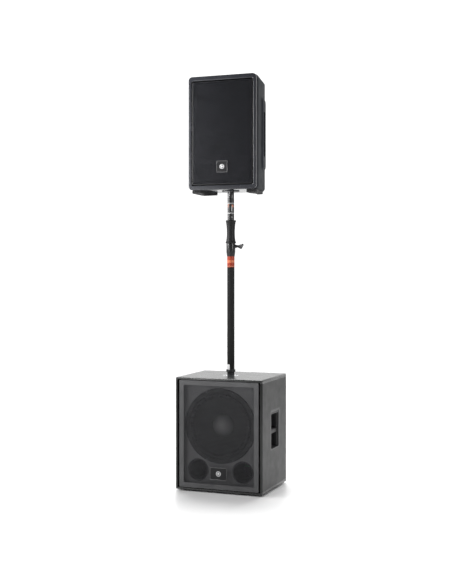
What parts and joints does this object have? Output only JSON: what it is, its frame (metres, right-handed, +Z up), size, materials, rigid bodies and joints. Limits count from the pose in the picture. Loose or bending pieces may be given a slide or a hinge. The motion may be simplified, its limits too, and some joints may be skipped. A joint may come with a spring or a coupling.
{
  "type": "pa speaker",
  "caption": "Vented subwoofer with a telescopic pole screwed into its top and a moulded two-way speaker turning on the pole.",
  "frame": {"origin": "on the floor under the middle of the subwoofer", "axes": "+Z up, front towards -Y, +X to the right seen from the front"},
  "size_m": [0.48, 0.396, 2.161],
  "materials": {
    "paint": "plywood under textured black paint",
    "inner_paint": "plywood under smooth black paint",
    "frame_paint": "satin black powder coat",
    "grille_steel": "black powder-coated perforated steel",
    "badge_metal": "plain bordered plate",
    "cast_metal": "black coated cast metal",
    "magnet_steel": "zinc-plated steel and ferrite",
    "roll_rubber": "matte",
    "spider_cloth": "resin-dipped cotton",
    "cone_paper": "pressed paper",
    "cap_paper": "pressed paper",
    "coil_copper": "enamelled copper wire",
    "port_plastic": "moulded",
    "handle_plastic": "moulded, fine grain",
    "socket_metal": "black coated steel",
    "zinc_steel": "zinc-plated",
    "foot_rubber": "matte",
    "plate_paint": "black anodised look",
    "circuit": "green board",
    "connector": "moulded",
    "knob_plastic": "moulded",
    "switch_plastic": "moulded",
    "button_plastic": "moulded",
    "screw_steel": "black oxide",
    "pole_black": "satin black",
    "foot_metal": "black coated steel",
    "wrap_orange": "printed sleeve",
    "clutch_plastic": "glass-filled nylon",
    "collet_plastic": "natural acetal",
    "grip_rubber": "soft grip",
    "tube_metal": "satin",
    "wrap_black": "printed sleeve",
    "bezel_plastic": "moulded, fine grain",
    "shell_plastic": "moulded, fine grain",
    "foam": "open-cell foam",
    "horn_plastic": "moulded",
    "rail_rubber": "matte"
  },
  "bodies": {
    "sub_and_pole": {"sub_top_panel": "paint", "sub_bottom_panel": "paint", "sub_left_panel": "paint", "sub_right_panel": "paint", "sub_back_panel": "paint", "sub_baffle": "inner_paint", "sub_front_frame": "frame_paint", "sub_grille": "grille_steel", "sub_badge": "badge_metal", "sub_woofer_basket": "cast_metal", "sub_woofer_motor": "magnet_steel", "sub_woofer_surround": "roll_rubber", "sub_woofer_spider": "spider_cloth", "sub_port_tubes": "port_plastic", "sub_handle_left": "handle_plastic", "sub_handle_right": "handle_plastic", "sub_pole_socket": "zinc_steel", "sub_feet": "foot_rubber", "sub_amp_plate": "plate_paint", "sub_amp_electronics": "circuit", "sub_sockets": "connector", "sub_fasteners": "screw_steel", "pole_foot": "foot_metal", "pole_lower_tube": "pole_black", "pole_lower_wraps": "wrap_orange", "pole_clutch_housing": "clutch_plastic", "pole_collet": "collet_plastic"},
    "top_speaker": {"spk_front_bezel": "bezel_plastic", "spk_rear_shell": "shell_plastic", "spk_grille": "grille_steel", "spk_grille_foam": "foam", "spk_badge": "badge_metal", "spk_woofer_basket": "cast_metal", "spk_woofer_motor": "magnet_steel", "spk_woofer_surround": "roll_rubber", "spk_horn": "horn_plastic", "spk_horn_driver": "magnet_steel", "spk_pole_cup": "socket_metal", "spk_foot_rails": "rail_rubber", "spk_handle_grips": "handle_plastic", "spk_amp_plate": "plate_paint", "spk_amp_electronics": "circuit", "spk_sockets": "connector", "spk_fasteners": "screw_steel"},
    "sub_cone": {"sub_woofer_cone": "cone_paper", "sub_dust_cap": "cap_paper", "sub_voice_coil": "coil_copper"},
    "sub_knob": {"sub_level_knob": "knob_plastic"},
    "sub_switch": {"sub_power_switch": "switch_plastic"},
    "sub_push": {"sub_button": "button_plastic"},
    "grip": {"pole_grip": "grip_rubber"},
    "lock_knob": {"pole_lock_knob": "clutch_plastic"},
    "pole_upper": {"pole_upper_tube": "tube_metal", "pole_upper_wrap": "wrap_black", "pole_guide_bush": "collet_plastic"},
    "spk_cone": {"spk_woofer_cone": "cone_paper"},
    "spk_knob_main": {"spk_main_knob": "knob_plastic"},
    "spk_knob_1": {"spk_input_knob_1": "knob_plastic"},
    "spk_knob_2": {"spk_input_knob_2": "knob_plastic"},
    "spk_switch": {"spk_power_switch": "switch_plastic"}
  },
  "joints": [
    {"name": "sub_cone_travel", "type": "slide", "parent": "sub_and_pole", "child": "sub_cone", "axis": [0, -1, 0], "range_m": [-0.008, 0.008], "stiffness_N_per_m": 2500, "deforming": ["sub_woofer_surround", "sub_woofer_spider"]},
    {"name": "sub_level_turn", "type": "hinge", "parent": "sub_and_pole", "child": "sub_knob", "pos_m": [0.07, 0.179, 0.31], "axis": [0, 1, 0], "range_deg": [-150, 150]},
    {"name": "sub_power_rock", "type": "hinge", "parent": "sub_and_pole", "child": "sub_switch", "pos_m": [0.11, 0.177, 0.12], "axis": [1, 0, 0], "range_deg": [0, 14]},
    {"name": "sub_polarity_press", "type": "slide", "parent": "sub_and_pole", "child": "sub_push", "axis": [0, -1, 0], "range_m": [0, 0.003], "stiffness_N_per_m": 300, "springref_m": -0.002},
    {"name": "grip_twist", "type": "hinge", "parent": "sub_and_pole", "child": "grip", "pos_m": [0, -0.016, 1.291], "axis": [0, 0, 1], "range_deg": [0, 60]},
    {"name": "lock_turn", "type": "hinge", "parent": "sub_and_pole", "child": "lock_knob", "pos_m": [0.032, -0.016, 1.275], "axis": [1, 0, 0], "range_deg": [0, 360]},
    {"name": "pole_height", "type": "slide", "parent": "sub_and_pole", "child": "pole_upper", "axis": [0, 0, 1], "range_m": [-0.12, 0.345]},
    {"name": "speaker_swivel", "type": "hinge", "parent": "pole_upper", "child": "top_speaker", "pos_m": [0, -0.016, 1.6], "axis": [0, 0, 1], "continuous": true},
    {"name": "spk_cone_travel", "type": "slide", "parent": "top_speaker", "child": "spk_cone", "axis": [0, -1, 0], "range_m": [-0.005, 0.005], "stiffness_N_per_m": 2500, "deforming": ["spk_woofer_surround"]},
    {"name": "spk_main_turn", "type": "hinge", "parent": "top_speaker", "child": "spk_knob_main", "pos_m": [0.05, 0.153, 1.878], "axis": [0, 1, 0], "range_deg": [-150, 150]},
    {"name": "spk_input_1_turn", "type": "hinge", "parent": "top_speaker", "child": "spk_knob_1", "pos_m": [-0.062, 0.153, 1.878], "axis": [0, 1, 0], "range_deg": [-150, 150]},
    {"name": "spk_input_2_turn", "type": "hinge", "parent": "top_speaker", "child": "spk_knob_2", "pos_m": [-0.022, 0.153, 1.878], "axis": [0, 1, 0], "range_deg": [-150, 150]},
    {"name": "spk_power_rock", "type": "hinge", "parent": "top_speaker", "child": "spk_switch", "pos_m": [0.02, 0.151, 1.693], "axis": [1, 0, 0], "range_deg": [0, 14]}
  ]
}
